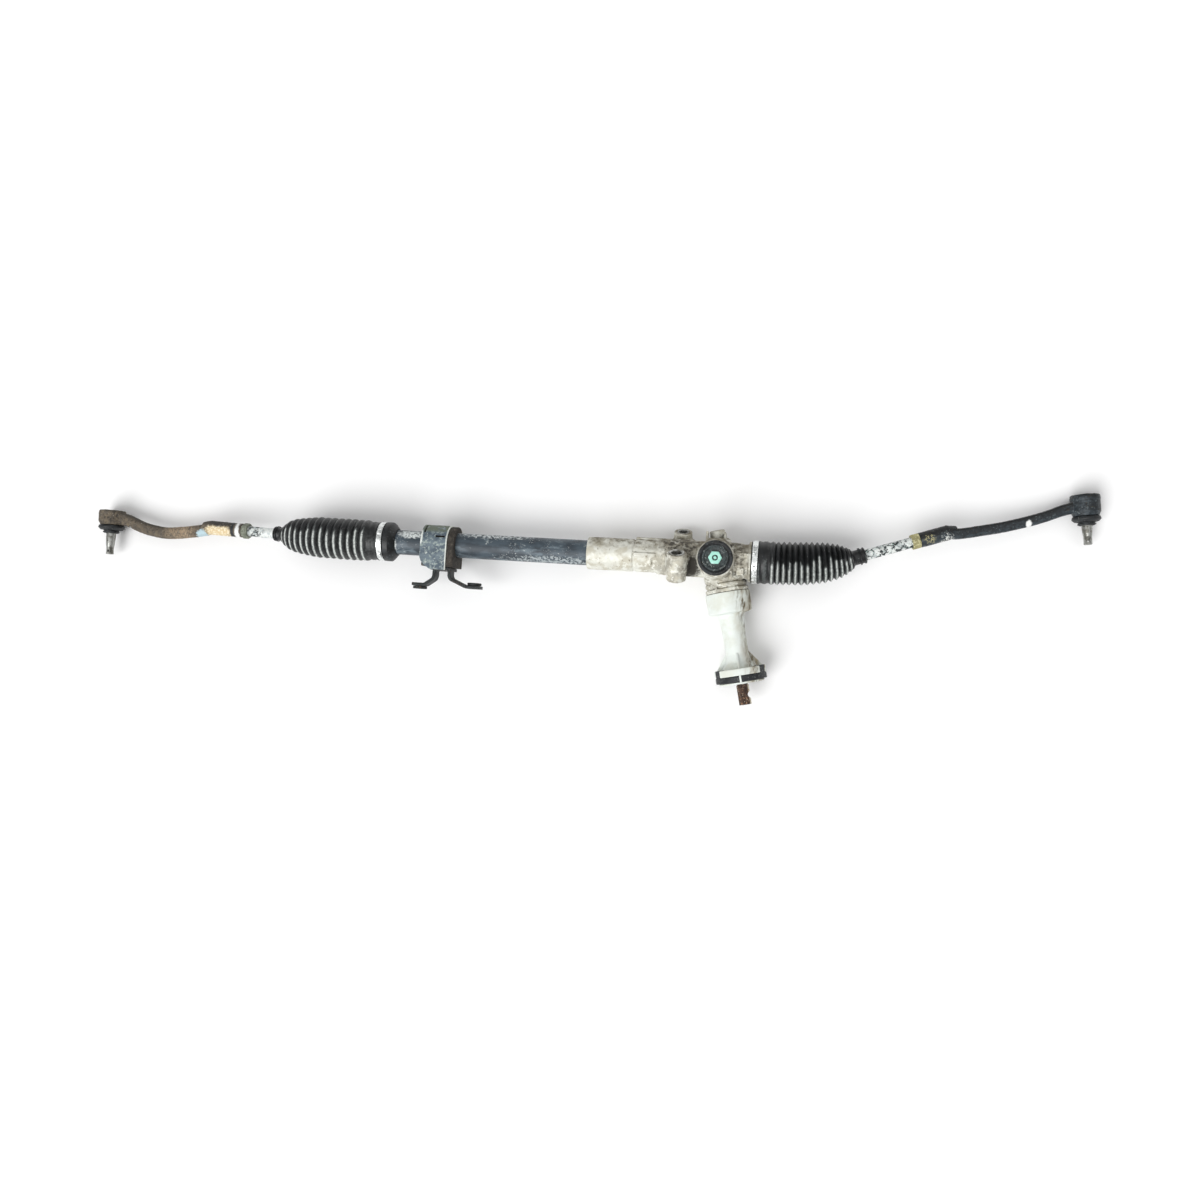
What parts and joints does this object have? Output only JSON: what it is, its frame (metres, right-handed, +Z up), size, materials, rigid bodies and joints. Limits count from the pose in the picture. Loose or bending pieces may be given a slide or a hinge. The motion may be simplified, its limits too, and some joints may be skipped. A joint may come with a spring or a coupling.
{
  "type": "rack and pinion steering gear",
  "caption": "Manual rack and pinion steering gear with bellows, tube bracket, plastic-covered pinion neck and ball-jointed tie rods.",
  "frame": {"origin": "under the middle of the bounding box, on the floor", "axes": "+X along the rack towards the pinion's end, +Z up out of the yoke plug, +Y away from the input shaft and the ball studs"},
  "size_m": [1.2426, 0.2726, 0.0946],
  "materials": {
    "cast_aluminium": "rough sand-cast, dirty",
    "machined_aluminium": "machined",
    "tube_paint": "worn dark blue-grey paint with scuffs",
    "black_paint": "worn black",
    "bracket_paint": "worn blue-grey paint",
    "bright_steel": "bare, paint-splashed",
    "hardened_steel": "ground",
    "rusty_steel": "forged, rusted",
    "dark_steel": "forged, dark slate paint",
    "black_rubber": "dusty",
    "bush_rubber": "dark brown",
    "white_plastic": "moulded, dusty",
    "green_plastic": "pale mint",
    "acetal": "plain"
  },
  "bodies": {
    "housing": {"gear_housing": "cast_aluminium", "rack_tube": "tube_paint", "tube_end_collar": "black_paint", "rack_bush": "acetal", "bracket_strap": "bracket_paint", "bracket_base": "black_paint", "bracket_bush": "bush_rubber", "left_foot_collar": "black_paint", "right_foot_collar": "black_paint", "rack_yoke": "machined_aluminium", "yoke_liner": "acetal", "yoke_spring": "hardened_steel", "yoke_o_ring": "black_rubber", "yoke_plug": "green_plastic", "yoke_lock_nut": "black_paint", "lower_pinion_bearing": "hardened_steel", "upper_pinion_bearing": "hardened_steel", "pinion_retaining_plug": "bright_steel", "pinion_seal": "black_rubber", "pinion_cover": "white_plastic", "cover_gasket": "black_rubber", "left_cover_clip": "white_plastic", "right_cover_clip": "white_plastic", "front_lug_sleeve": "bright_steel", "rear_lug_sleeve": "bright_steel", "left_boot": "black_rubber", "right_boot": "black_rubber", "left_boot_clamp": "bright_steel", "right_boot_clamp": "bright_steel"},
    "rack": {"rack_bar": "hardened_steel", "left_inner_socket": "hardened_steel", "right_inner_socket": "hardened_steel", "left_lock_washer": "bright_steel", "right_lock_washer": "bright_steel"},
    "pinion": {"pinion_shaft": "hardened_steel"},
    "left_inner_ball_seat": {"left_inner_seat": "acetal"},
    "left_rod_sleeve": {"left_boot_clip": "black_paint"},
    "left_tie_rod": {"left_inner_rod": "bright_steel", "left_jam_nut": "bright_steel", "left_outer_end": "rusty_steel", "left_end_cap": "rusty_steel", "left_dust_boot": "black_rubber"},
    "left_outer_ball_seat": {"left_outer_seat": "acetal"},
    "left_stud_ring": {"left_dust_boot_ring": "bright_steel"},
    "left_stud": {"left_ball_stud": "bright_steel"},
    "right_inner_ball_seat": {"right_inner_seat": "acetal"},
    "right_rod_sleeve": {"right_boot_clip": "black_paint"},
    "right_tie_rod": {"right_inner_rod": "bright_steel", "right_jam_nut": "bright_steel", "right_outer_end": "dark_steel", "right_end_cap": "dark_steel", "right_dust_boot": "black_rubber"},
    "right_outer_ball_seat": {"right_outer_seat": "acetal"},
    "right_stud_ring": {"right_dust_boot_ring": "bright_steel"},
    "right_stud": {"right_ball_stud": "bright_steel"}
  },
  "joints": [
    {"name": "rack_slide", "type": "slide", "parent": "housing", "child": "rack", "axis": [1, 0, 0], "range_m": [-0.064, 0.064], "deforming": ["left_boot", "right_boot"]},
    {"name": "pinion_spin", "type": "hinge", "parent": "housing", "child": "pinion", "pos_m": [0.19106, 0.03353, 0.03083], "axis": [0.2215, -0.9751, 0], "range_deg": [-534, 534]},
    {"name": "left_rod_swing", "type": "hinge", "parent": "rack", "child": "left_inner_ball_seat", "pos_m": [-0.30474, 0.03353, 0.04571], "axis": [0, 0, 1], "range_deg": [-19.7, 24.3]},
    {"name": "left_rod_pitch", "type": "hinge", "parent": "left_inner_ball_seat", "child": "left_rod_sleeve", "pos_m": [-0.30474, 0.03353, 0.04571], "axis": [0.0401, 0.9992, 0], "range_deg": [-6.9, 18.1]},
    {"name": "left_rod_roll", "type": "hinge", "parent": "left_rod_sleeve", "child": "left_tie_rod", "pos_m": [-0.30474, 0.03353, 0.04571], "axis": [-0.9945, 0.0399, -0.0968], "continuous": true},
    {"name": "left_stud_tilt", "type": "hinge", "parent": "left_tie_rod", "child": "left_outer_ball_seat", "pos_m": [-0.60463, 0.04437, 0.01651], "axis": [0, 0, 1], "range_deg": [-14, 14], "deforming": ["left_dust_boot"]},
    {"name": "left_stud_nod", "type": "hinge", "parent": "left_outer_ball_seat", "child": "left_stud_ring", "pos_m": [-0.60463, 0.04437, 0.01651], "axis": [1, 0.0035, 0], "range_deg": [-14, 14], "deforming": ["left_dust_boot"]},
    {"name": "left_stud_spin", "type": "hinge", "parent": "left_stud_ring", "child": "left_stud", "pos_m": [-0.60463, 0.04437, 0.01651], "axis": [0.0035, -1, 0], "continuous": true},
    {"name": "right_rod_swing", "type": "hinge", "parent": "rack", "child": "right_inner_ball_seat", "pos_m": [0.31126, 0.03353, 0.04571], "axis": [0, 0, 1], "range_deg": [-41, 3]},
    {"name": "right_rod_pitch", "type": "hinge", "parent": "right_inner_ball_seat", "child": "right_rod_sleeve", "pos_m": [0.31126, 0.03353, 0.04571], "axis": [-0.3256, 0.9455, 0], "range_deg": [-18, 7]},
    {"name": "right_rod_roll", "type": "hinge", "parent": "right_rod_sleeve", "child": "right_tie_rod", "pos_m": [0.31126, 0.03353, 0.04571], "axis": [0.9412, 0.3241, -0.0954], "continuous": true},
    {"name": "right_stud_tilt", "type": "hinge", "parent": "right_tie_rod", "child": "right_outer_ball_seat", "pos_m": [0.6042, 0.11716, 0.01655], "axis": [0, 0, 1], "range_deg": [-14, 14], "deforming": ["right_dust_boot"]},
    {"name": "right_stud_nod", "type": "hinge", "parent": "right_outer_ball_seat", "child": "right_stud_ring", "pos_m": [0.6042, 0.11716, 0.01655], "axis": [0.9932, 0.1167, 0], "range_deg": [-14, 14], "deforming": ["right_dust_boot"]},
    {"name": "right_stud_spin", "type": "hinge", "parent": "right_stud_ring", "child": "right_stud", "pos_m": [0.6042, 0.11716, 0.01655], "axis": [0.1167, -0.9932, 0], "continuous": true}
  ],
  "couplings": [
    {"joint": "pinion_spin", "follows": "rack_slide", "rad_per_m": -145.12}
  ]
}
